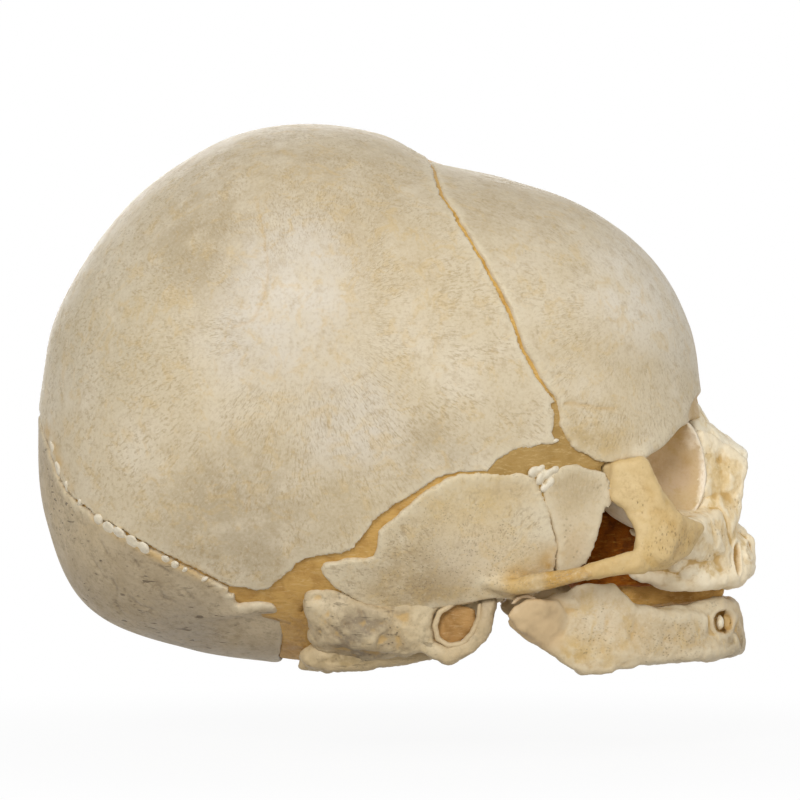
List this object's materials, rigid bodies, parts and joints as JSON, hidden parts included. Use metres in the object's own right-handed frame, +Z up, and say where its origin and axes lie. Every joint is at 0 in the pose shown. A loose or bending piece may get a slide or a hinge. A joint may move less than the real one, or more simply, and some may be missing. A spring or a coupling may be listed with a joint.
{
  "type": "fetal skull",
  "caption": "Term fetal skull in separate bones with fontanelle and suture membranes, open orbits and braincase, and a hinged lower jaw.",
  "frame": {"origin": "centre of the base of the skull's box, on the plane that it stands on", "axes": "+X towards the face, +Y towards the skull's left, +Z up; the skull stands on the angles of the lower jaw and on the lateral parts of the occipital bone"},
  "size_m": [0.1272, 0.0924, 0.096],
  "materials": {
    "ivory_bone": "thin dry bone, matte with a soft sheen",
    "cream_bone": "dry bone with fine pores, matte",
    "brown_bone": "stained dry bone, matte",
    "dried_membrane": "dried translucent membrane, amber",
    "dried_cartilage": "dried cartilage, smooth",
    "tooth_germ": "unworn tooth germ, satin"
  },
  "bodies": {
    "cranium": {"parietal_right": "ivory_bone", "parietal_left": "ivory_bone", "frontal_right": "ivory_bone", "frontal_left": "ivory_bone", "occipital_squama": "brown_bone", "occipital_lateral_right": "brown_bone", "occipital_lateral_left": "brown_bone", "occipital_basilar": "brown_bone", "sphenoid_body": "brown_bone", "sphenoid_greater_wing_right": "cream_bone", "sphenoid_greater_wing_left": "cream_bone", "temporal_squama_right": "cream_bone", "temporal_squama_left": "cream_bone", "temporal_petrous_right": "cream_bone", "temporal_petrous_left": "cream_bone", "tympanic_ring_right": "cream_bone", "tympanic_ring_left": "cream_bone", "ethmoid": "cream_bone", "vomer": "cream_bone", "nasal_right": "cream_bone", "nasal_left": "cream_bone", "lacrimal_right": "cream_bone", "lacrimal_left": "cream_bone", "inferior_concha_right": "cream_bone", "inferior_concha_left": "cream_bone", "maxilla_right": "cream_bone", "maxilla_left": "cream_bone", "zygomatic_right": "cream_bone", "zygomatic_left": "cream_bone", "palatine_right": "cream_bone", "palatine_left": "cream_bone", "articular_disc_right": "dried_cartilage", "articular_disc_left": "dried_cartilage", "anterior_fontanelle_membrane": "dried_membrane", "posterior_fontanelle_membrane": "dried_membrane", "sphenoidal_fontanelle_membrane_right": "dried_membrane", "sphenoidal_fontanelle_membrane_left": "dried_membrane", "mastoid_fontanelle_membrane_right": "dried_membrane", "mastoid_fontanelle_membrane_left": "dried_membrane", "sagittal_suture_membrane": "dried_membrane", "metopic_suture_membrane": "dried_membrane", "coronal_suture_membrane_right": "dried_membrane", "coronal_suture_membrane_left": "dried_membrane", "lambdoid_suture_membrane_right": "dried_membrane", "lambdoid_suture_membrane_left": "dried_membrane", "squamous_suture_membrane_right": "dried_membrane", "squamous_suture_membrane_left": "dried_membrane"},
    "mandible": {"mandible_right": "cream_bone", "mandible_left": "cream_bone", "mandibular_symphysis": "dried_cartilage", "tooth_germ_right": "tooth_germ", "tooth_germ_left": "tooth_germ"}
  },
  "joints": [
    {"name": "jaw", "type": "hinge", "parent": "cranium", "child": "mandible", "pos_m": [0.0218, 0, 0.01142], "axis": [0, 1, 0], "range_deg": [0, 20]}
  ]
}
